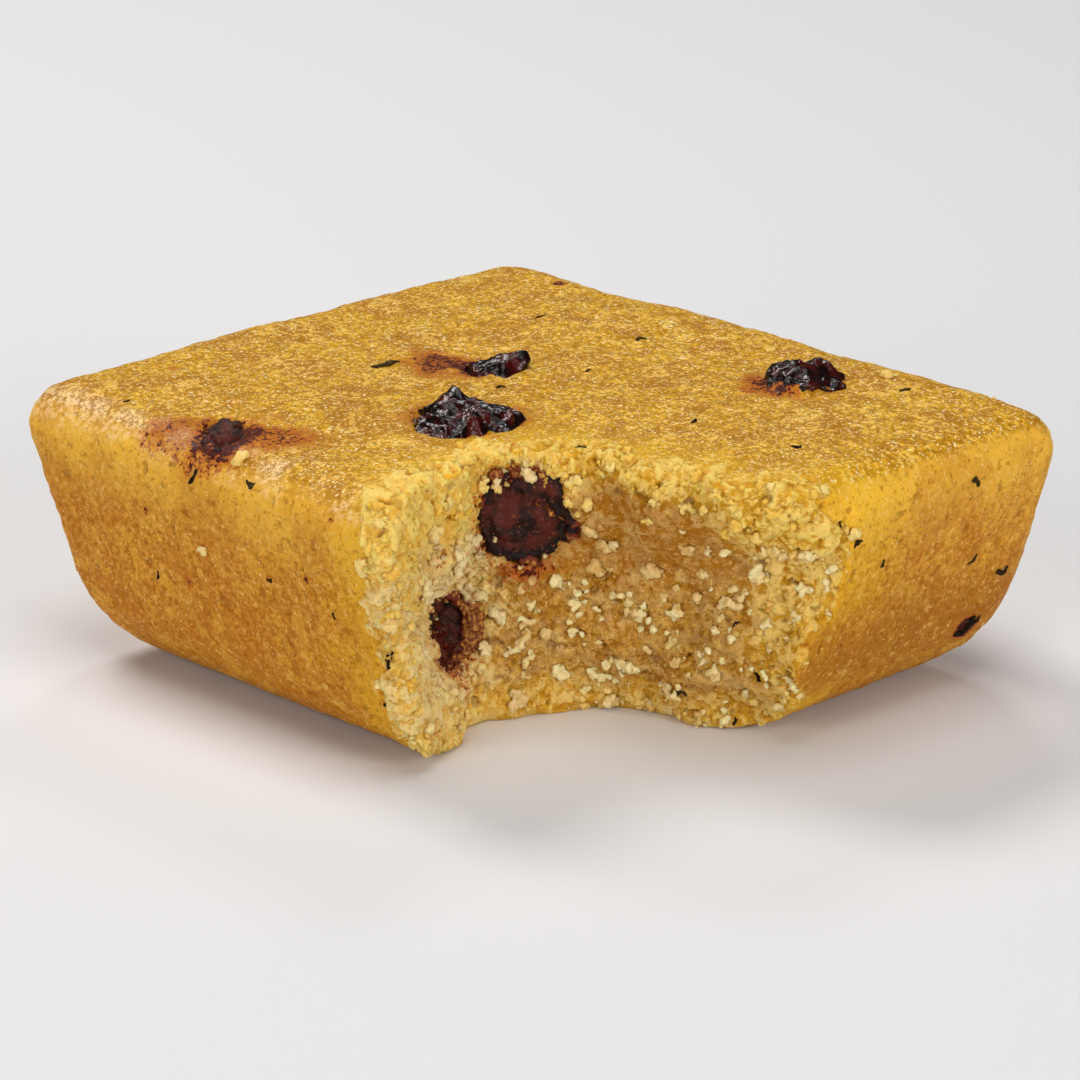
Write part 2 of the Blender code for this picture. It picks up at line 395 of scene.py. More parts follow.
def closed_bar(nodes):
    """The bar with its chip pockets filled, finer and smoother on the bitten wall, and its points."""
    meshes = [welded(nodes["blondie"].data)]
    for names, filling in ((TOP_CHIPS, TOP_FILLING), (BITE_CHIPS, BITE_FILLING)):
        meshes += [resized(welded(nodes[name].data), *filling) for name in names]
    mesh = without_specks(remeshed(meshes, SKIN_VOXEL), SKIN_LEAST)
    points = points_of(mesh)
    points = relaxed(mesh, points, 0.25 + 0.75 * wall_share(points), 6)
    set_points(mesh, points)
    split_wall(mesh, points)
    points = points_of(mesh)
    points = relaxed(mesh, points, wall_share(points), 4)
    set_points(mesh, points)
    return mesh, points


def broken_crumb(points, swell, lumpy):
    """Relief of the crumb: torn layers with granules of three sizes over them, and cracks."""
    bent = warped(points, 0.22, 0.5, 60)
    layer = smooth_step(-0.10, 0.16, ragged(bent, 2.7, 13) + 0.25 * lumpy - 0.1)
    body = 0.5 * np.abs(waves(bent, 1.5, 14))
    for size, seed, height in ((1.2, 26, 0.42), (0.65, 15, 0.42), (0.38, 19, 0.20)):
        granule, own = pebbles(bent, size, seed)
        body += height * (0.75 * own + 0.25 * granule)
    crack = smooth_step(0.52, 0.68, waves(points * (1, 1, 1.4), 1.2, 18) + 0.35 * waves(points, 0.5, 24))
    rough = 0.16 * swell + 0.10 * waves(points, 1.5, 17) + (0.06 + 0.20 * lumpy) * (layer - 0.5)
    rough += (0.30 + 0.40 * lumpy) * body - (0.20 + 0.20 * lumpy) * crack
    rough -= 0.18 + 0.20 * lumpy
    return rough, body, own, crack


def pimpled_crust(points, top, torn):
    """Relief of the crust: low pimples with pits between them, flatter on top."""
    bumpy, bumpy_own = pebbles(warped(points, 0.2, 0.9, 70), 0.95, 20)
    crust = (0.06 - 0.03 * top) * (bumpy - 0.5) * (0.3 + 0.7 * bumpy_own)
    crust += 0.06 * waves(points, 1.6, 21) + 0.05 * waves(points, 0.75, 22)
    dent = smooth_step(0.52, 0.74, waves(points, 1.1, 23) + 0.4 * waves(points, 0.5, 25))
    crust -= 0.14 * (1 - 0.6 * top) * dent
    # The crust stands a little at its torn edge.
    crust += 0.10 * smooth_step(-0.5, 0.1, torn) * smooth_step(1.2, 0.2, torn)
    return crust, dent


def bar_skin(nodes):
    """The bar with broken crumb and pimpled crust, and what its material needs to know at each point."""
    mesh, points = closed_bar(nodes)
    outward = normals_of(mesh)
    depth = depth_in_bar(points)
    away = from_wall(points, depth)
    x, y, z = points.T
    lift = smooth_step(0.0, 1.0, z)
    # Broken crumb reaches over the bite's edge, further on the top and the left than on the right.
    reach = 0.5 + 1.3 * smooth_step(0.4, 0.9, outward[:, 2]) + 1.1 * smooth_step(-18.0, -21.0, y)
    torn = np.minimum(away - reach - (0.5 + 0.25 * reach) * ragged(points, 2.2, 3), away - 0.3)
    crumb = smooth_step(0.10, -0.10, torn) * smooth_step(-0.1, 0.2, z)
    top = smooth_step(0.50, 0.85, outward[:, 2]) * (1 - crumb)
    inside = smooth_step(0.4, 1.2, depth)

    # The crumb is lumpy on the torn lip, down to where it hangs, on the ridges at both ends of the bite
    # and along its foot. Elsewhere it is pressed smoother.
    swell = waves(points, 3.2, 11)
    hang = 12.6 + 4.4 * smooth_step(8.5, 12.0, x) - 3.4 * smooth_step(22.0, 25.5, x)
    upper = smooth_step(0.0, 1.6, z - hang + 0.9 * swell) * crumb
    left = smooth_step(-8.5, -11.5, y + 1.0 * swell) * crumb
    right = smooth_step(19.5, 22.5, x + 1.0 * swell) * crumb
    foot = smooth_step(3.4, 1.4, z + 0.8 * swell) * crumb
    lumpy = np.clip(np.maximum.reduce([upper, left, 0.7 * right, 0.6 * foot]), 0, 1)
    lumpy = np.clip(lumpy + 0.30 * smooth_step(0.0, 0.6, waves(points, 2.6, 12)), 0, 1)

    rough, body, own, crack = broken_crumb(points, swell, lumpy)
    crust, dent = pimpled_crust(points, top, torn)
    moved = points + outward * ((crumb * rough + (1 - crumb) * crust) * lift)[:, None]
    moved[:, 2] = np.maximum(moved[:, 2], 0.0)
    set_points(mesh, moved)

    near_rim = (1 - inside) * (1 - left)
    low_right = smooth_step(22.0, 25.0, x) * smooth_step(12.0, 5.0, z + 1.5 * waves(points, 4.0, 42))
    # Painted highlight: a patchy pale sheen along the front-left top edge, which also gets a thicker
    # coat.
    painted_sheen = smooth_step(-20.6, -22.2, y) * smooth_step(16.6, 18.2, z)
    painted_sheen *= smooth_step(-0.35, 0.25, waves(points, 2.6, 44)) * (1 - crumb)
    # Painted shade: the recess under the overhanging lip is coloured darker.
    recess = smooth_step(9.8, 11.8, z + swell) * (1 - upper) * smooth_step(8.5, 11.5, x)
    shares = {
        "crumb": crumb,
        "top": top,
        # Painted glow: light shining through the crust near the bite, mixed into the colour as gold.
        "glow": smooth_step(7.0, 0.8, away + 1.6 * waves(points, 2.8, 41)) * (1 - low_right),
        "body": body,
        "granule": own,
        "lumpy": lumpy,
        "yellow": np.clip(np.maximum.reduce([upper, 0.7 * right, 0.7 * foot, near_rim]), 0, 1),
        "edge": left,
        "cream": creamy_at(points) * left,
        "recess": recess * smooth_step(0.8, 1.6, depth),
        # Painted shade: the colour is darker in the cracks and dents that are cut into the relief.
        "pit": np.where(crumb > 0.5, crack, dent),
        "stain": stain_at(points),
        "brown": low_right,
        "sheen": painted_sheen,
    }
    for name, values in shares.items():
        store(mesh, name, values)
    return mesh


# Loose granules


def balls(middles, sizes, seed, finer):
    """Many small rounded lumps as one mesh."""
    work = bmesh.new()
    bmesh.ops.create_icosphere(work, subdivisions=2 if finer else 1, radius=1.0)
    ball = np.array([v.co for v in work.verts])
    faces = np.array([[v.index for v in f.verts] for f in work.faces])
    work.free()
    draw = np.random.default_rng(seed)
    count = len(middles)
    turn = np.linalg.qr(draw.normal(size=(count, 3, 3)))[0]
    squash = draw.uniform(0.6, 1.35, size=(count, 1, 3)) * sizes[:, None, None]
    points = np.einsum("nvk,njk->nvj", ball[None] * squash, turn)
    bump = waves((ball[None] * 1.5 + draw.uniform(0, 90, size=(count, 1, 3))).reshape(-1, 3), 1.0, seed)
    points *= 1 + 0.6 * bump.reshape(count, -1, 1)
    points += middles[:, None]
    mesh = bpy.data.meshes.new("granules")
    every = (faces[None] + (np.arange(count) * len(ball))[:, None, None]).reshape(-1, 3)
    mesh.from_pydata(points.reshape(-1, 3) * MM, [], every.tolist())
    return mesh


# Clumps of pale crumb on the bitten wall and a few on the crust: place and width.
CLUMPS = (
    ((14.5, -3.6, 11.2), 2.0), ((18.0, -4.1, 13.9), 1.0), ((13.3, -4.0, 8.1), 1.2),
    ((16.0, -2.8, 8.7), 1.3), ((12.4, -3.6, 4.0), 1.3), ((18.3, -1.7, 4.7), 1.5),
    ((21.3, -1.1, 12.5), 2.2), ((23.5, -1.4, 14.5), 1.8), ((25.0, -0.5, 14.3), 1.6),
    ((24.1, 0.4, 11.4), 1.4), ((11.9, -5.4, 13.1), 2.2), ((11.0, -5.7, 11.0), 1.8),
    ((5.5, -10.5, 9.1), 1.1), ((6.2, -9.8, 7.4), 1.6), ((8.3, -6.0, 3.0), 1.5),
    ((6.6, -8.5, 1.4), 2.6), ((9.9, -3.0, 0.8), 1.6), ((12.1, -7.6, 16.3), 1.2),
    ((-7.9, -23.1, 11.6), 0.7), ((8.5, -23.8, 14.9), 1.3), ((14.4, 19.0, 19.5), 0.9),
    ((-5.0, -22.4, 18.6), 1.5), ((7.5, -10.4, 19.5), 1.1), ((9.0, -15.0, 14.0), 2.0),
    ((8.2, -17.5, 15.5), 1.8), ((8.6, -14.0, 11.8), 2.0), ((7.4, -16.5, 10.5), 1.6),
    ((9.6, -12.4, 17.4), 1.6), ((8.6, -19.0, 12.5), 1.5), ((7.8, -18.5, 7.5), 1.4),
    ((6.9, -16.8, 5.0), 1.2), ((8.3, -9.2, 17.9), 2.4), ((10.9, -7.2, 17.4), 1.6),
    ((6.4, -12.4, 17.6), 1.5), ((11.6, -6.6, 14.2), 1.3), ((7.0, -12.6, 13.6), 1.4),
    ((5.9, -14.6, 10.8), 1.6), ((6.6, -12.0, 9.4), 1.4), ((6.8, -11.0, 5.6), 1.2),
    ((7.3, -10.2, 18.0), 1.8), ((4.9, -12.4, 10.0), 1.3), ((3.6, -14.2, 10.0), 1.2),
)
# The lump over the large cut chip, which stays unstained: its middle, half width and half height.
DRY_LUMP = (7.9, -9.6, 18.0)
DRY_ACROSS = 1.9
DRY_UPRIGHT = 1.1


def grown_together(name, middles, sizes, seed, surface, soaks):
    """One ragged skin round all these lumps, with what its material needs to know at each point.

    Soaks is the share of the chocolate round it that the crumb takes up.
    """
    mesh = without_specks(remeshed([balls(middles, sizes, seed, True)], CLUMP_VOXEL), CLUMP_LEAST)
    mesh.name = name
    points = points_of(mesh)
    points = relaxed(mesh, points, np.ones(len(points)), 1)
    set_points(mesh, points)
    _, own = pebbles(points + 0.08 * waves(points, 0.3, seed + 45)[:, None], 0.38, seed + 44)
    lift = 0.02 + 0.12 * waves(points, 0.45, seed + 40) + 0.08 * waves(points, 0.22, seed + 41)
    lift += 0.23 * (own - 0.5)
    moved = points + normals_of(mesh) * lift[:, None]
    moved[:, 2] = np.maximum(moved[:, 2], 0.0)
    set_points(mesh, moved)
    rise = np.array([surface.find_nearest(Vector(p))[3] for p in moved])
    store(mesh, "tone", 0.4 * own + 0.6 * smooth_step(-0.5, 0.4, waves(points, 2.2, seed + 42)))
    store(mesh, "rise", rise)
    from_lump = points - np.array(DRY_LUMP)
    dry = np.hypot(from_lump @ RIGHT / DRY_ACROSS, from_lump[:, 2] / DRY_UPRIGHT)
    dry = smooth_step(1.15, 0.80, dry)
    store(mesh, "stain", soaks * (1 - dry) * stain_at(points))
    patchy = 0.8 * waves(points, 2.0, seed + 43)
    edge = 0.75 * smooth_step(-18.5, -21.5, points[:, 1] + patchy)
    store(mesh, "yellow", (1 - dry) * np.maximum(smooth_step(14.0, 16.5, points[:, 2] + patchy), edge))
    store(mesh, "cream", np.maximum(creamy_at(points), dry))
    return mesh


def crust_of_granules(surface, skin):
    """Granules grown together over the lip and the ridges of the bite."""
    draw = np.random.default_rng(21)
    points, outward = points_of(skin), normals_of(skin)
    crumb, lumpy = stored(skin, "crumb"), stored(skin, "lumpy")
    weight = crumb * smooth_step(0.25, 0.85, lumpy) * smooth_step(-0.9, 0.3, waves(points, 1.7, 57))
    chosen = draw.choice(len(points), LUMP_COUNT, replace=False, p=weight / weight.sum())
    sizes = 0.15 + 0.33 * draw.uniform(0, 1, len(chosen)) ** 1.8
    depth = draw.uniform(-0.95, -0.35, len(chosen)) * sizes
    middles = points[chosen] + outward[chosen] * depth[:, None]
    return grown_together("crumb_lumps", middles, sizes, 14, surface, 1.0)


def clumps_and_grains(surface, skin):
    """Ragged clumps of merged granules on the bitten wall, and single grains on it and on the crust."""
    draw = np.random.default_rng(12)
    points, outward = points_of(skin), normals_of(skin)
    crumb, lumpy = stored(skin, "crumb"), stored(skin, "lumpy")
    middles, sizes = [], []

    def clump(middle, width):
        """Grains that start at the middle and each sit beside one that is already there."""
        grown = [np.array(middle, float)]
        size = [0.2]
        for _ in range(int(4 + 13 * width * width)):
            parent = draw.integers(len(grown))
            way = draw.normal(size=3)
            way /= np.linalg.norm(way)
            spot = grown[parent] + way * size[parent] * draw.uniform(0.8, 1.4)
            if np.linalg.norm(spot - middle) > width * 0.5:
                continue
            grown.append(spot)
            size.append(draw.uniform(0.11, 0.22))
        for spot, radius in zip(grown, size):
            near, normal, _, _ = surface.find_nearest(Vector(spot))
            dome = max(0.0, 1 - (np.linalg.norm(spot - middle) / (0.5 * width)) ** 2)
            rise = draw.uniform(-0.3, 0.4) * radius + 0.12 * min(width, 2.0) * dome
            middles.append(np.array(near + normal * rise))
            sizes.append(radius)

    for middle, width in CLUMPS:
        clump(middle, 1.15 * width)
    # Fewer of them in the recess under the lip.
    recess = stored(skin, "recess")
    weight = crumb * (1.1 - lumpy) * smooth_step(-0.6, 0.5, waves(points, 3.0, 51)) * (1 - 0.85 * recess)
    for index in draw.choice(len(points), SMALL_CLUMP_COUNT, replace=False, p=weight / weight.sum()):
        width = float(draw.choice((0.3, 0.45, 0.7, 1.1), p=(0.48, 0.32, 0.13, 0.07)))
        clump(points[index], width)
    clumps = grown_together("crumb_clumps", np.array(middles), np.array(sizes), 8, surface, 0.5)

    weight = crumb * (0.2 + lumpy) * (1 - 0.8 * recess)
    chosen = draw.choice(len(points), CRUMB_GRAIN_COUNT, replace=False, p=weight / weight.sum())
    crust = np.flatnonzero((crumb < 0.1) & (points[:, 2] > 1.0))
    chosen = np.concatenate([chosen, draw.choice(crust, CRUST_GRAIN_COUNT, replace=False)])
    places = points[chosen] + outward[chosen] * draw.uniform(-0.04, 0.05, size=(len(chosen), 1))
    places[:, 2] = np.maximum(places[:, 2], 0.25)
    radii = 0.04 + 0.09 * draw.uniform(0, 1, len(chosen)) ** 2
    grains = balls(places, radii, 9, False)
    each = len(grains.vertices) // len(chosen)
    yellow = np.where(crumb[chosen] < 0.1, 1.0, 0.7 * (places[:, 2] > 14))
    store(grains, "tone", np.repeat(draw.uniform(0, 1, len(chosen)), each))
    store(grains, "yellow", np.repeat(yellow, each))
    store(grains, "rise", np.full(len(grains.vertices), 0.3))
    for name in ("stain", "cream"):
        store(grains, name, np.zeros(len(grains.vertices)))
    return clumps, grains


# Chips


def ridges(points, size, seed):
    """Noise with sharp creases, from 0 in a crease to 1."""
    return 1 - np.abs(waves(points, size, seed)) * 1.6


# For each chip on top: how far its rim wanders, how deep its wrinkles are, and the peaks that stand up on
# it, each with its place, height and spread.
MELTED = {
    "chip_top_left": (0.45, 0.22, ()),
    "chip_top_back": (0.40, 0.28, (
        ((-4.5, 2.5, 20.4), 1.3, 0.6),
        ((-6.6, 0.0, 20.2), 0.3, 0.8),
    )),
    "chip_top_front": (0.60, 0.36, (
        ((-0.9, -7.2, 20.2), 1.0, 1.1),
        ((0.6, -9.4, 20.2), 0.4, 1.1),
        ((3.0, -6.6, 20.2), 0.3, 1.0),
    )),
    "chip_top_right": (0.42, 0.36, (
        ((11.4, 13.9, 20.4), 0.4, 1.1),
    )),
}


def melted_chip(node, seed):
    """A half-melted chip in its node's place, with an uneven rim and deep wrinkles."""
    rim, wrinkle, peaks = MELTED[node.name]
    mesh = remeshed([resized(welded(node.data), (0.1, 0.1, 0.0), (0, 0, 0))], CHIP_VOXEL)
    points = relaxed(mesh, points_of(mesh), np.ones(len(mesh.vertices)), 5)
    set_points(mesh, points)
    outward = normals_of(mesh)
    level = smooth_step(-0.1, 0.6, outward[:, 2])
    side = 1 - np.abs(outward[:, 2])
    wander = waves(points * (1, 1, 0.3), 2.3, seed) + 0.5 * waves(points * (1, 1, 0.5), 1.1, seed + 1)
    lift = rim * side * wander
    fold = ridges(points * (1, 1, 0.7), 1.7, seed + 2)
    lift += wrinkle * level * (fold**3 - 0.45)
    lift += 0.35 * wrinkle * (ridges(points, 0.8, seed + 3) ** 2 - 0.5)
    lift += 0.10 * wrinkle * waves(points, 0.4, seed + 4)
    if node.name == "chip_top_left":
        # This one has burst and dried: its face is made of small hard grains.
        lift += level * (0.34 * (pebbles(points, 0.6, seed + 6)[1] - 0.6) - 0.12)
    for place, height, spread in peaks:
        away = np.linalg.norm((points - np.array(place)) * (1, 1, 0.4), axis=1)
        lift += height * level * np.exp(-((away / spread) ** 2))
    set_points(mesh, points + outward * lift[:, None])
    store(mesh, "height", smooth_step(points[:, 2].max() - 2.2, points[:, 2].max() - 0.3, points[:, 2]))
    store(mesh, "crumby", smooth_step(0.35, 0.65, waves(points, 0.9, seed + 5)) * 0.5)
    return mesh


# For each bitten chip: the middle and radii, across and upright, of the part that crumb leaves bare.
BARE = {
    "chip_bite_large": ((0.0, -0.35), (3.40, 3.35)),
    "chip_bite_small": ((-0.20, 0.10), (1.95, 2.35)),
}


def bitten_chip(node, seed):
    """A chip that the bite has cut through: crumbly, with a ring of cracks round its middle."""
    mesh = remeshed([resized(welded(node.data), (0.05, 0.05, 0.05), -0.05 * INWARD)], CHIP_VOXEL)
    points = relaxed(mesh, points_of(mesh), np.ones(len(mesh.vertices)), 6)
    set_points(mesh, points)
    outward = normals_of(mesh)
    middle = (points.min(0) + points.max(0)) / 2
    span = (points.max(0) - points.min(0))[2] / 2
    away = np.hypot((points - middle) @ RIGHT, points[:, 2] - middle[2]) / span
    lift = 0.16 * waves(points, 1.6, seed) + 0.14 * (ridges(points, 0.9, seed + 1) ** 2 - 0.5)
    _, own = pebbles(points + 0.1 * waves(points, 0.4, seed + 9)[:, None], 0.6, seed + 2)
    lift += 0.16 * (own - 0.5) + 0.05 * waves(points, 0.3, seed + 5)
    ring = away - 0.66 - 0.10 * waves(points, 1.4, seed + 3)
    lift -= 0.28 * np.exp(-((ring / 0.06) ** 2)) * smooth_step(-0.3, 0.3, waves(points, 2.0, seed + 4))
    broken = smooth_step(0.25, 0.45, waves(points, 1.3, seed + 6)) * smooth_step(0.55, 0.8, away)
    lift -= 0.35 * broken
    lift += 0.35 * smooth_step(0.7, 1.0, away) * waves(points, 1.2, seed + 7)
    # Crumb that sticks to the chip's edge leaves this much of it bare.
    across, upright = (points - middle) @ RIGHT, points[:, 2] - middle[2]
    shift, radii = BARE[node.name]
    bare = np.hypot((across - shift[0]) / radii[0], (upright - shift[1]) / radii[1])
    crumby = smooth_step(0.92, 1.06, bare + 0.16 * ragged(points, 1.2, seed + 8))
    lift += crumby * (0.15 + 0.45 * own + 0.35 * broken)
    set_points(mesh, points + outward * lift[:, None])
    store(mesh, "height", smooth_step(0.95, 0.6, away) * (1 - broken))
    store(mesh, "crumby", crumby)
    return mesh


# Flecks of dark leaf and husk: place, length, width, turn in degrees, and shade from dark to pale.
FLECKS = (
    ((-11.7, -3.3, 19.5), 2.2, 0.8, 20, 0.5), ((-8.4, -23.6, 16.9), 1.3, 0.35, 60, 0.1),
    ((-3.0, -23.3, 17.7), 1.0, 0.45, 10, 0.6), ((9.3, -22.8, 8.5), 1.4, 0.45, -35, 0.1),
    ((-12.3, 12.2, 19.6), 1.3, 0.15, 50, 0.3), ((-3.8, 13.7, 19.5), 0.9, 0.5, 30, 0.6),
    ((-0.6, 5.3, 19.7), 0.7, 0.25, 40, 0.2), ((12.3, 2.3, 19.7), 0.7, 0.35, 40, 0.0),
    ((20.5, 3.4, 19.5), 0.7, 0.5, 10, 0.0), ((17.3, 17.7, 19.6), 1.0, 0.35, 45, 0.3),
    ((27.0, 13.8, 16.3), 1.1, 0.5, -20, 0.5), ((26.8, 2.5, 14.7), 0.8, 0.5, 30, 0.3),
    ((26.5, 1.1, 16.3), 0.7, 0.15, 80, 0.2), ((26.2, 5.6, 12.4), 0.6, 0.3, 50, 0.4),
    ((25.6, 15.4, 10.1), 1.0, 0.35, 40, 0.5), ((25.3, 18.8, 8.4), 1.1, 0.7, 30, 0.4),
    ((20.8, -0.4, 4.6), 0.8, 0.45, -30, 0.0), ((15.7, -2.1, 2.5), 1.0, 0.4, 10, 0.8),
    ((20.2, -1.8, 8.5), 0.6, 0.25, 20, 0.3), ((18.5, 0.0, 0.7), 0.5, 0.4, 20, 0.3),
    ((-13.5, -22.6, 8.5), 0.8, 0.2, 70, 0.2), ((-1.7, -23.0, 11.3), 0.6, 0.3, 30, 0.5),
    ((4.7, -23.1, 10.5), 0.5, 0.2, -40, 0.3), ((8.5, -22.1, 5.1), 0.5, 0.3, 20, 0.4),
    ((-2.3, -1.4, 19.6), 0.7, 0.4, 20, 0.1), ((-18.4, -20.8, 19.2), 0.5, 0.25, 0, 0.4),
    ((24.0, 16.7, 4.5), 2.0, 0.9, 32, 0.0), ((24.2, 17.6, 4.9), 0.9, 0.6, 50, 0.1),
    ((9.3, -22.6, 8.9), 0.8, 0.25, 30, 0.0), ((10.9, -6.9, 19.5), 0.7, 0.5, 20, 0.9),
)
FLECK_THICKNESS = 0.06


def fleck_mesh(tree):
    """Small curled flakes that lie on the surface, each a closed grid of points over another one."""
    draw = np.random.default_rng(5)
    listed = list(FLECKS)
    for _ in range(HIDDEN_FLECK_COUNT):
        # The same kind of flecks on the sides that the picture doesn't show.
        if draw.uniform() < 0.5:
            spot = (-26.0, draw.uniform(-20, 21), draw.uniform(3, 17))
        else:
            spot = (draw.uniform(-23, 23), 23.0, draw.uniform(3, 17))
        length = draw.uniform(0.4, 1.2)
        width = draw.uniform(0.2, 0.5)
        turn = draw.uniform(0, 180)
        shade = draw.uniform(0, 0.8)
        listed.append((spot, length, width, turn, shade))
    points, faces, shades = [], [], []
    rows, columns = 5, 9
    each = rows * columns
    rim = list(range(rows))
    rim += [i * rows + rows - 1 for i in range(1, columns)]
    rim += [(columns - 1) * rows + j for j in range(rows - 2, -1, -1)]
    rim += [i * rows for i in range(columns - 2, 0, -1)]
    for number, (place, length, width, turn, shade) in enumerate(listed):
        spot, normal, _, _ = tree.find_nearest(Vector(place))
        across = normal.cross(Vector((0, 0, 1)) if abs(normal.z) < 0.8 else Vector((-0.7, 0.7, 0)))
        across.normalize()
        upright = normal.cross(across)
        turn = math.radians(turn)
        one = across * math.cos(turn) + upright * math.sin(turn)
        two = normal.cross(one)
        start = len(points)
        under = []
        for i in range(columns):
            for j in range(rows):
                u, v = i / (columns - 1) * 2 - 1, j / (rows - 1) * 2 - 1
                taper = math.sqrt(max(1 - u * u, 0.02))
                wander = 0.35 * width * math.sin(2.3 * u + number)
                uneven = 1 + 0.35 * math.sin(5.1 * u + 3.3 * v + 2.7 * number)
                flat = spot + one * (u * length / 2) + two * (v * taper * width * 0.42 * uneven + wander)
                near, up, _, _ = tree.find_nearest(flat)
                rise = 0.03 + 0.08 * width * (1 - v * v) + 0.05 * abs(math.sin(3.1 * u + number)) * taper
                points.append(near + up * rise)
                under.append(near + up * (rise - FLECK_THICKNESS))
        points.extend(under)
        shades.extend([shade] * 2 * each)
        for i in range(columns - 1):
            for j in range(rows - 1):
                at = start + i * rows + j
                faces.append((at, at + 1, at + rows + 1, at + rows))
                faces.append((at + each, at + each + rows, at + each + rows + 1, at + each + 1))
        for one_end, other_end in zip(rim, rim[1:] + rim[:1]):
            a, b = start + one_end, start + other_end
            faces.append((a, a + each, b + each, b))
    mesh = bpy.data.meshes.new("flecks")
    mesh.from_pydata([p * MM for p in points], [], faces)
    store(mesh, "tone", shades)
    return mesh


# Materials


def fill(tree, node, values):
    """Gives a node's sockets their links and their own numbers and colours."""
    for name, value in values.items():
        if isinstance(value, bpy.types.NodeSocket):
            tree.links.new(value, node.inputs[name])
        else:
            node.inputs[name].default_value = value


def add(tree, kind, values, **settings):
    node = tree.nodes.new(kind)
    for name, value in settings.items():
        setattr(node, name, value)
    fill(tree, node, values)
    return node


def linear(part):
    """The linear value of red, green or blue given as 0 to 255."""
    part /= 255
    return part / 12.92 if part <= 0.04045 else ((part + 0.055) / 1.055) ** 2.4


def mix(tree, share, first, second):
    """Two colours mixed, each of them a link or its red, green and blue."""
    values = {0: share}
    for socket, value in ((6, first), (7, second)):
        values[socket] = (*map(linear, value), 1.0) if isinstance(value, tuple) else value
    return add(tree, "ShaderNodeMix", values, data_type="RGBA").outputs[2]


def step(tree, value, low, high, strength=1.0):
    values = {"Value": value, "From Min": low, "From Max": high, "To Max": strength}
    return add(tree, "ShaderNodeMapRange", values, interpolation_type="SMOOTHSTEP").outputs[0]


def calc(tree, operation, first, second, third=0.0):
    return add(tree, "ShaderNodeMath", {0: first, 1: second, 2: third}, operation=operation).outputs[0]


def stirred(tree, value, noise, amount):
    """A value with this much added of a noise that lies round one half."""
    return calc(tree, "MULTIPLY_ADD", calc(tree, "SUBTRACT", noise, 0.5), amount, value)


def speckle(tree, place, size, detail=2.0, roughness=0.5):
    values = {"Vector": place, "Scale": 1 / (size * MM), "Detail": detail, "Roughness": roughness}
    return add(tree, "ShaderNodeTexNoise", values).outputs[0]


def named(tree, name):
    return add(tree, "ShaderNodeAttribute", {}, attribute_name=name).outputs["Fac"]


def bump(tree, height, distance, below=None):
    values = {"Height": height, "Distance": distance * MM}
    if below:
        values["Normal"] = below
    return add(tree, "ShaderNodeBump", values).outputs[0]


def blank(name):
    """A material with its node tree, its shader and the place on the object."""
    made = bpy.data.materials.new(name)
    made.use_nodes = True
    tree = made.node_tree
    tree.nodes.clear()
    shader = add(tree, "ShaderNodeBsdfPrincipled", {})
    add(tree, "ShaderNodeOutputMaterial", {"Surface": shader.outputs[0]})
    place = add(tree, "ShaderNodeTexCoord", {}).outputs["Object"]
    return made, tree, shader, place


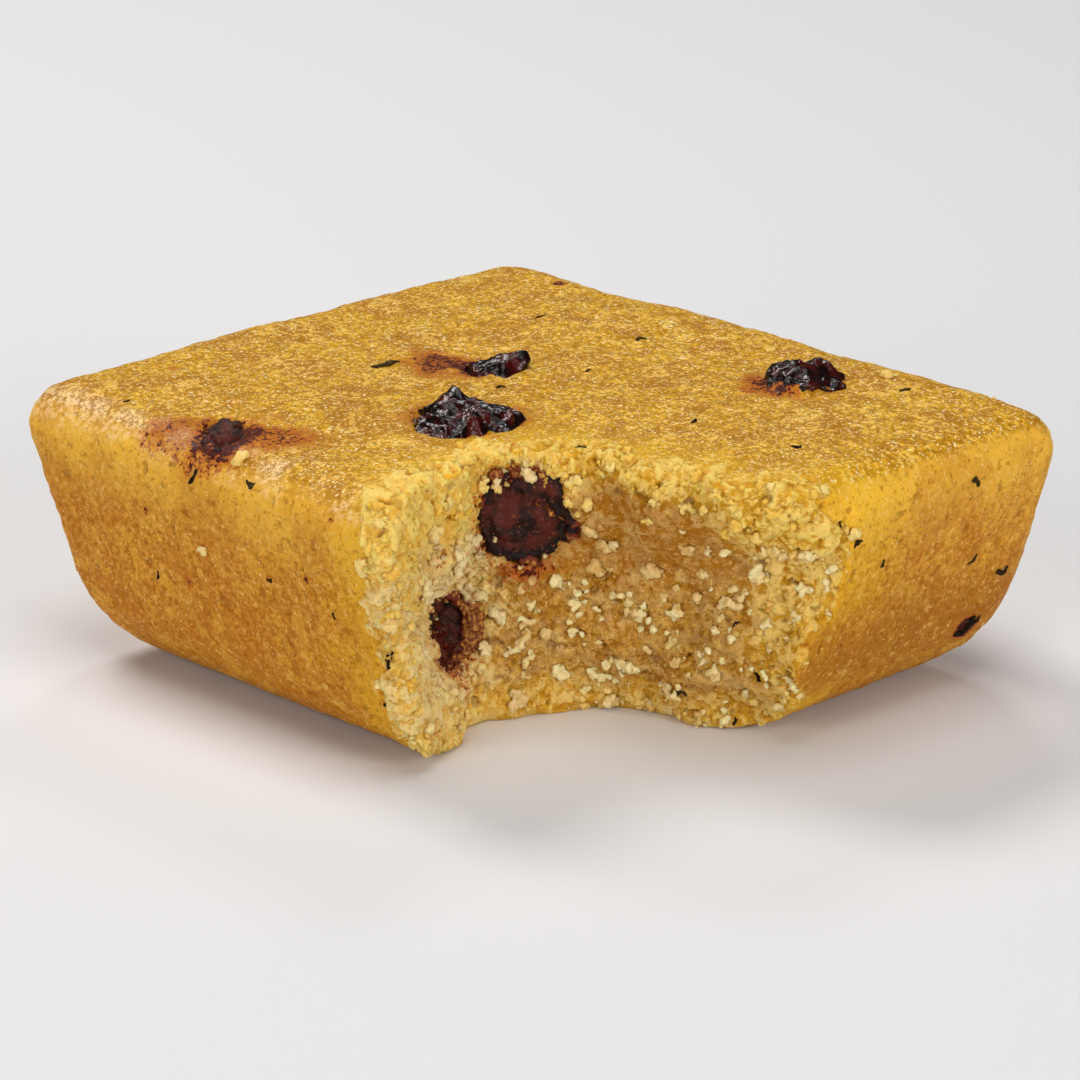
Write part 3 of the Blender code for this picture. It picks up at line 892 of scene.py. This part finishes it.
def baked_material():
    made, tree, shader, place = blank("baked")
    crumb, top, glow, body, granule, lumpy, yellow = (
        named(tree, name) for name in ("crumb", "top", "glow", "body", "granule", "lumpy", "yellow"))
    edge, cream, recess, pit, stain, brown, sheen = (
        named(tree, name) for name in ("edge", "cream", "recess", "pit", "stain", "brown", "sheen"))
    height = add(tree, "ShaderNodeSeparateXYZ", {0: place}).outputs[2]
    grit = speckle(tree, place, 0.42, 3.0, 0.75)
    fine = speckle(tree, place, 0.22, 1.0, 0.6)
    patch = speckle(tree, place, 1.9, 3.0, 0.65)
    broad = speckle(tree, place, 5.0, 2.0, 0.55)
    gold = (250, 196, 30)
    # Painted glow of light through the crust near the bite.
    painted_glow = calc(tree, "MULTIPLY", glow, 0.40)

    # The sides: golden brown, browner low down, with pale specks and pits that are darker as painted
    # shade.
    # Yellower towards the top edge, partly painted highlight, with a painted glow near the bite.
    side = mix(tree, step(tree, grit, 0.36, 0.64), (182, 112, 14), (226, 160, 50))
    side = mix(tree, step(tree, height, 12 * MM, 3 * MM, 0.40), side, (178, 104, 18))
    # Yellower and lighter towards the rounded top edge: partly the crust's own colour, partly painted
    # highlight.
    side = mix(tree, step(tree, height, 11 * MM, 18.5 * MM, 0.75), side, (254, 198, 70))
    side = mix(tree, step(tree, broad, 0.44, 0.62, 0.35), side, (184, 104, 12))
    side = mix(tree, step(tree, patch, 0.50, 0.66, 0.35), side, (244, 188, 64))
    side = mix(tree, calc(tree, "MULTIPLY", brown, 0.60), side, (160, 100, 22))
    # Painted glow near the bite.
    side = mix(tree, painted_glow, side, gold)
    grains = speckle(tree, place, 0.55, 2.0, 0.7)
    side = mix(tree, step(tree, grains, 0.57, 0.68, 0.45), side, (246, 200, 106))
    side = mix(tree, step(tree, grains, 0.43, 0.34, 0.5), side, (154, 86, 8))
    side = mix(tree, step(tree, fine, 0.68, 0.76, 0.7), side, (255, 226, 156))
    side = mix(tree, step(tree, fine, 0.33, 0.26, 0.5), side, (122, 66, 6))
    # Painted shade in the dents.
    side = mix(tree, step(tree, pit, 0.3, 1.0, 0.4), side, (140, 72, 6))
    # The top: yellower, with olive-brown patches, cream blotches, bright specks that are painted glints,
    # and a painted glow near the bite.
    crown = mix(tree, step(tree, grit, 0.38, 0.62), (172, 116, 4), (226, 170, 30))
    crown = mix(tree, step(tree, broad, 0.46, 0.60, 0.6), crown, (172, 108, 2))
    crown = mix(tree, step(tree, patch, 0.48, 0.36, 0.6), crown, (164, 106, 2))
    # Painted glow near the bite.
    crown = mix(tree, painted_glow, crown, gold)
    uneven = stirred(tree, stirred(tree, patch, broad, 0.4), grit, 1.3)
    crown = mix(tree, step(tree, uneven, 0.54, 0.74, 0.55), crown, (254, 206, 92))
    crown = mix(tree, step(tree, grains, 0.59, 0.67, 0.5), crown, (252, 212, 120))
    # Painted glints: tiny near-white specks.
    crown = mix(tree, step(tree, fine, 0.61, 0.68, 0.9), crown, (255, 234, 174))
    crust = mix(tree, top, side, crown)
    # Painted highlight: pale cream sheen along the front-left top edge.
    shine = calc(tree, "MULTIPLY", sheen, step(tree, grit, 0.44, 0.60, 0.8))
    crust = mix(tree, shine, crust, (255, 214, 150))

    # The crumb: moist khaki, yellow near the crust and paler on the left, each granule in its own tone,
    # with painted shade in the recess under the lip, between the granules and in the cracks.
    tone = mix(tree, step(tree, grit, 0.36, 0.64), (154, 98, 14), (200, 148, 50))
    tone = mix(tree, step(tree, patch, 0.48, 0.38, 0.55), tone, (144, 88, 12))
    # Painted shade: darker orange-brown in the recess under the lip.
    tone = mix(tree, calc(tree, "MULTIPLY", recess, 0.75), tone, (172, 108, 12))
    tone = mix(tree, step(tree, granule, 0.45, 1.0, 0.30), tone, (206, 148, 50))
    tone = mix(tree, calc(tree, "MULTIPLY", yellow, 0.6), tone, (234, 176, 32))
    tone = mix(tree, calc(tree, "MULTIPLY", edge, 0.65), tone, (252, 202, 90))
    tone = mix(tree, calc(tree, "MULTIPLY", cream, 0.60), tone, (226, 192, 124))
    pale = mix(tree, yellow, (240, 214, 150), (250, 218, 122))
    raised = step(tree, calc(tree, "MULTIPLY_ADD", granule, 0.35, body), 0.66, 1.12)
    raised = calc(tree, "MULTIPLY", raised, calc(tree, "MULTIPLY_ADD", lumpy, 0.55, 0.18))
    tone = mix(tree, raised, tone, pale)
    tone = mix(tree, step(tree, grains, 0.58, 0.66, 0.32), tone, (236, 194, 100))
    tone = mix(tree, step(tree, fine, 0.63, 0.71, 0.45), tone, (252, 224, 150))
    tone = mix(tree, step(tree, fine, 0.36, 0.27, 0.5), tone, (134, 80, 12))
    # Painted shade: darker between the granules, where their relief is low.
    tone = mix(tree, step(tree, body, 0.55, 0.25, 0.45), tone, (156, 96, 14))
    # Painted shade in the cracks.
    tone = mix(tree, step(tree, pit, 0.2, 1.0, 0.4), tone, (136, 78, 8))
    base = mix(tree, crumb, crust, tone)

    # Melted chocolate soaked into it.
    soaked = stirred(tree, stain, grit, 2.0)
    soaked = stirred(tree, soaked, fine, 1.0)
    soaked = stirred(tree, soaked, grains, 0.9)
    soaked = calc(tree, "MULTIPLY", soaked, step(tree, stain, 0.0, 0.12))
    base = mix(tree, step(tree, soaked, 0.22, 0.50, 0.75), base, (188, 86, 10))
    base = mix(tree, step(tree, soaked, 0.54, 0.84), base, (74, 18, 6))

    # A film of butter, thickest on the top.
    oil = calc(tree, "MULTIPLY_ADD", top, 0.10, 0.06)
    oil = calc(tree, "MULTIPLY_ADD", sheen, 0.6, oil)
    relief = bump(tree, fine, 0.05, bump(tree, grit, 0.15))
    fill(tree, shader, {
        "Base Color": base,
        "Roughness": 0.7,
        "IOR": 1.45,
        "Specular IOR Level": 0.12,
        "Subsurface Weight": 0.5,
        "Subsurface Radius": (1.0, 0.5, 0.14),
        "Subsurface Scale": 0.9 * MM,
        "Coat Weight": oil,
        "Coat Roughness": 0.16,
        "Coat IOR": 1.5,
        "Normal": relief,
        "Coat Normal": relief,
    })
    return made


def granule_material(name, pale):
    """Loose pale clumps, or the moister granules that are grown into the lip."""
    made, tree, shader, place = blank(name)
    names = ("tone", "yellow", "cream", "rise", "stain")
    tone, yellow, cream, rise, stain = (named(tree, name) for name in names)
    grit = speckle(tree, place, 0.30, 3.0, 0.7)
    if pale:
        base = mix(tree, tone, (210, 162, 76), (254, 232, 174))
        base = mix(tree, calc(tree, "MULTIPLY", yellow, 0.6), base, (250, 204, 92))
        low, spread = (204, 150, 56), 0.10
    else:
        base = mix(tree, tone, (214, 158, 54), (252, 214, 130))
        base = mix(tree, calc(tree, "MULTIPLY", yellow, 0.6), base, (244, 188, 44))
        low, spread = (200, 136, 24), 0.12
    base = mix(tree, calc(tree, "MULTIPLY", cream, 0.55), base, (244, 218, 166))
    base = mix(tree, step(tree, grit, 0.54, 0.68, 0.5), base, (255, 234, 172))
    base = mix(tree, step(tree, grit, 0.46, 0.34, 0.30), base, low)
    # Painted shade: darker where a grain lies close against the surface under it.
    base = mix(tree, step(tree, rise, spread, 0.0, 0.75), base, low)
    soaked = stirred(tree, stain, grit, 1.4)
    base = mix(tree, step(tree, soaked, 0.18, 0.50, 0.75), base, (164, 78, 26))
    base = mix(tree, step(tree, soaked, 0.48, 0.80, 0.95), base, (72, 18, 8))
    fill(tree, shader, {
        "Base Color": base,
        "Roughness": 0.5,
        "Specular IOR Level": 0.25,
        "Subsurface Weight": 0.45,
        "Subsurface Radius": (1.0, 0.55, 0.22),
        "Subsurface Scale": 0.7 * MM,
        "Normal": bump(tree, grit, 0.10),
    })
    return made


def fleck_material():
    made, tree, shader, place = blank("flecks")
    fine = speckle(tree, place, 0.22, 3.0)
    base = mix(tree, named(tree, "tone"), (24, 13, 6), (72, 54, 24))
    base = mix(tree, step(tree, fine, 0.55, 0.75, 0.4), base, (146, 122, 80))
    fill(tree, shader, {
        "Base Color": base,
        "Roughness": 0.85,
        "Specular IOR Level": 0.08,
        "Normal": bump(tree, fine, 0.06),
    })
    return made


def chocolate_material(name, glossy):
    made, tree, shader, place = blank(name)
    fine = speckle(tree, place, 0.24, 3.0, 0.6)
    broad = speckle(tree, place, 1.1, 2.0)
    height = named(tree, "height")
    if glossy:
        base = mix(tree, step(tree, broad, 0.44, 0.68), (16, 2, 1), (72, 14, 6))
        base = mix(tree, step(tree, height, 0.55, 0.05, 0.9), base, (128, 36, 10))
        low, high = 0.12, 0.30
    else:
        base = mix(tree, step(tree, broad, 0.40, 0.65), (30, 6, 3), (84, 28, 15))
        base = mix(tree, step(tree, height, 0.8, 0.1), base, (22, 3, 1))
        base = mix(tree, step(tree, fine, 0.58, 0.68, 0.6), base, (138, 78, 50))
        crumby = stirred(tree, named(tree, "crumby"), fine, 1.6)
        base = mix(tree, step(tree, crumby, 0.25, 0.60), base, (112, 42, 16))
        base = mix(tree, step(tree, crumby, 0.85, 1.25), base, (196, 136, 62))
        low, high = 0.45, 0.75
    values = {"Value": fine, "From Min": 0.3, "From Max": 0.7, "To Min": low, "To Max": high}
    fill(tree, shader, {
        "Base Color": base,
        "Roughness": add(tree, "ShaderNodeMapRange", values).outputs[0],
        "IOR": 1.5,
        "Specular IOR Level": 0.42 if glossy else 0.25,
        "Normal": bump(tree, fine, 0.03 if glossy else 0.07, bump(tree, broad, 0.14)),
    })
    return made


# Camera, light and floor


# The camera's angles in degrees, the point that its frame is centred on and how far it stands from there,
# in metres, and its lens in millimetres.
AZIMUTH = 45.5
ELEVATION = 19.2
MIDDLE = (0.0, 0.0, 0.00963)
MIDDLE_RIGHT = 0.00007
MIDDLE_UP = -0.00072
DISTANCE = 0.330
LENS = 161.22

LIT_POINT = (0.0, 0.0, 0.008)  # the point that every light is turned to


def add_camera():
    azimuth = math.radians(AZIMUTH)
    elevation = math.radians(ELEVATION)
    level = math.cos(elevation)
    back = Vector((math.sin(azimuth) * level, -math.cos(azimuth) * level, math.sin(elevation)))
    right = Vector((math.cos(azimuth), math.sin(azimuth), 0.0))
    up = back.cross(right)
    camera = bpy.data.objects.new("camera", bpy.data.cameras.new("camera"))
    bpy.context.scene.collection.objects.link(camera)
    camera.data.sensor_width = 36.0
    camera.data.lens = LENS
    camera.data.clip_start = 0.01
    camera.location = Vector(MIDDLE) + right * MIDDLE_RIGHT + up * MIDDLE_UP + back * DISTANCE
    camera.rotation_mode = "QUATERNION"
    camera.rotation_quaternion = (-back).to_track_quat("-Z", "Y")
    bpy.context.scene.camera = camera


def add_light(name, direction, distance, size, strength, tint=(1, 1, 1)):
    """A round soft light that lights a surface facing it this strongly, whatever its distance."""
    light = bpy.data.lights.new(name, "AREA")
    light.shape = "DISK"
    light.size = size
    light.energy = strength * math.pi * distance**2
    light.color = tint
    obj = bpy.data.objects.new(name, light)
    bpy.context.scene.collection.objects.link(obj)
    obj.location = Vector(direction).normalized() * distance
    obj.rotation_mode = "QUATERNION"
    obj.rotation_quaternion = (Vector(LIT_POINT) - obj.location).to_track_quat("-Z", "Y")


def add_studio():
    add_light("key", (-0.62, 0.00, 0.78), 0.55, 0.20, 1.3, (1.0, 0.97, 0.93))
    add_light("back", (-0.50, 0.56, 0.66), 0.60, 0.12, 0.35)
    add_light("overhead", (0.15, -0.10, 1.0), 0.60, 0.45, 1.15)
    add_light("front", (0.25, -0.85, 0.36), 0.70, 0.40, 1.15)
    add_light("right", (0.95, -0.05, 0.36), 0.70, 0.35, 1.25)
    world = bpy.data.worlds.new("studio")
    world.use_nodes = True
    background = world.node_tree.nodes["Background"]
    background.inputs["Color"].default_value = (1.0, 1.0, 1.0, 1.0)
    background.inputs["Strength"].default_value = 0.05
    bpy.context.scene.world = world
    bpy.context.scene.view_settings.view_transform = "Standard"


def add_floor():
    mesh = bpy.data.meshes.new("floor")
    mesh.from_pydata([(-2, -2, 0), (2, -2, 0), (2, 2, 0), (-2, 2, 0)], [], [(0, 1, 2, 3)])
    floor = piece("floor", mesh)
    made, tree, shader, _ = blank("floor")
    fill(tree, shader, {"Base Color": (0.80, 0.80, 0.81, 1.0), "Roughness": 0.8})
    mesh.materials.append(made)


def dress(name, mesh, material, slot, *nodes):
    obj = piece(name, mesh)
    mesh.shade_smooth()
    mesh.materials.append(material)
    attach(obj, "root")
    if nodes:
        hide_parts(*nodes)


def main():
    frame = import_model()
    nodes = frame["nodes"]
    add_camera()
    add_studio()
    add_floor()
    skin = bar_skin(nodes)
    dress("bar_skin", skin, baked_material(), "baked_crumb", "blondie")
    glossy = chocolate_material("melted_chocolate", True)
    cut = chocolate_material("cut_chocolate", False)
    chips = []
    for seed, name in enumerate(TOP_CHIPS, start=3):
        chips.append(melted_chip(nodes[name], 10 * seed))
        dress(name + "_melt", chips[-1], cut if name == "chip_top_left" else glossy, "chocolate", name)
    for seed, name in enumerate(BITE_CHIPS, start=8):
        chips.append(bitten_chip(nodes[name], 10 * seed))
        dress(name + "_cut", chips[-1], cut, "chocolate", name)
    surface = tree_of(skin, *chips)
    lumps = crust_of_granules(surface, skin)
    clumps, grains = clumps_and_grains(surface, skin)
    dress("crumb_lumps", lumps, granule_material("moist_granules", False), "baked_crumb")
    pale = granule_material("pale_granules", True)
    dress("crumb_clumps", clumps, pale, "pale_crumb")
    dress("crumb_grains", grains, pale, "pale_crumb")
    dress("flecks", fleck_mesh(tree_of(skin)), fleck_material(), "dark_fleck")


main()
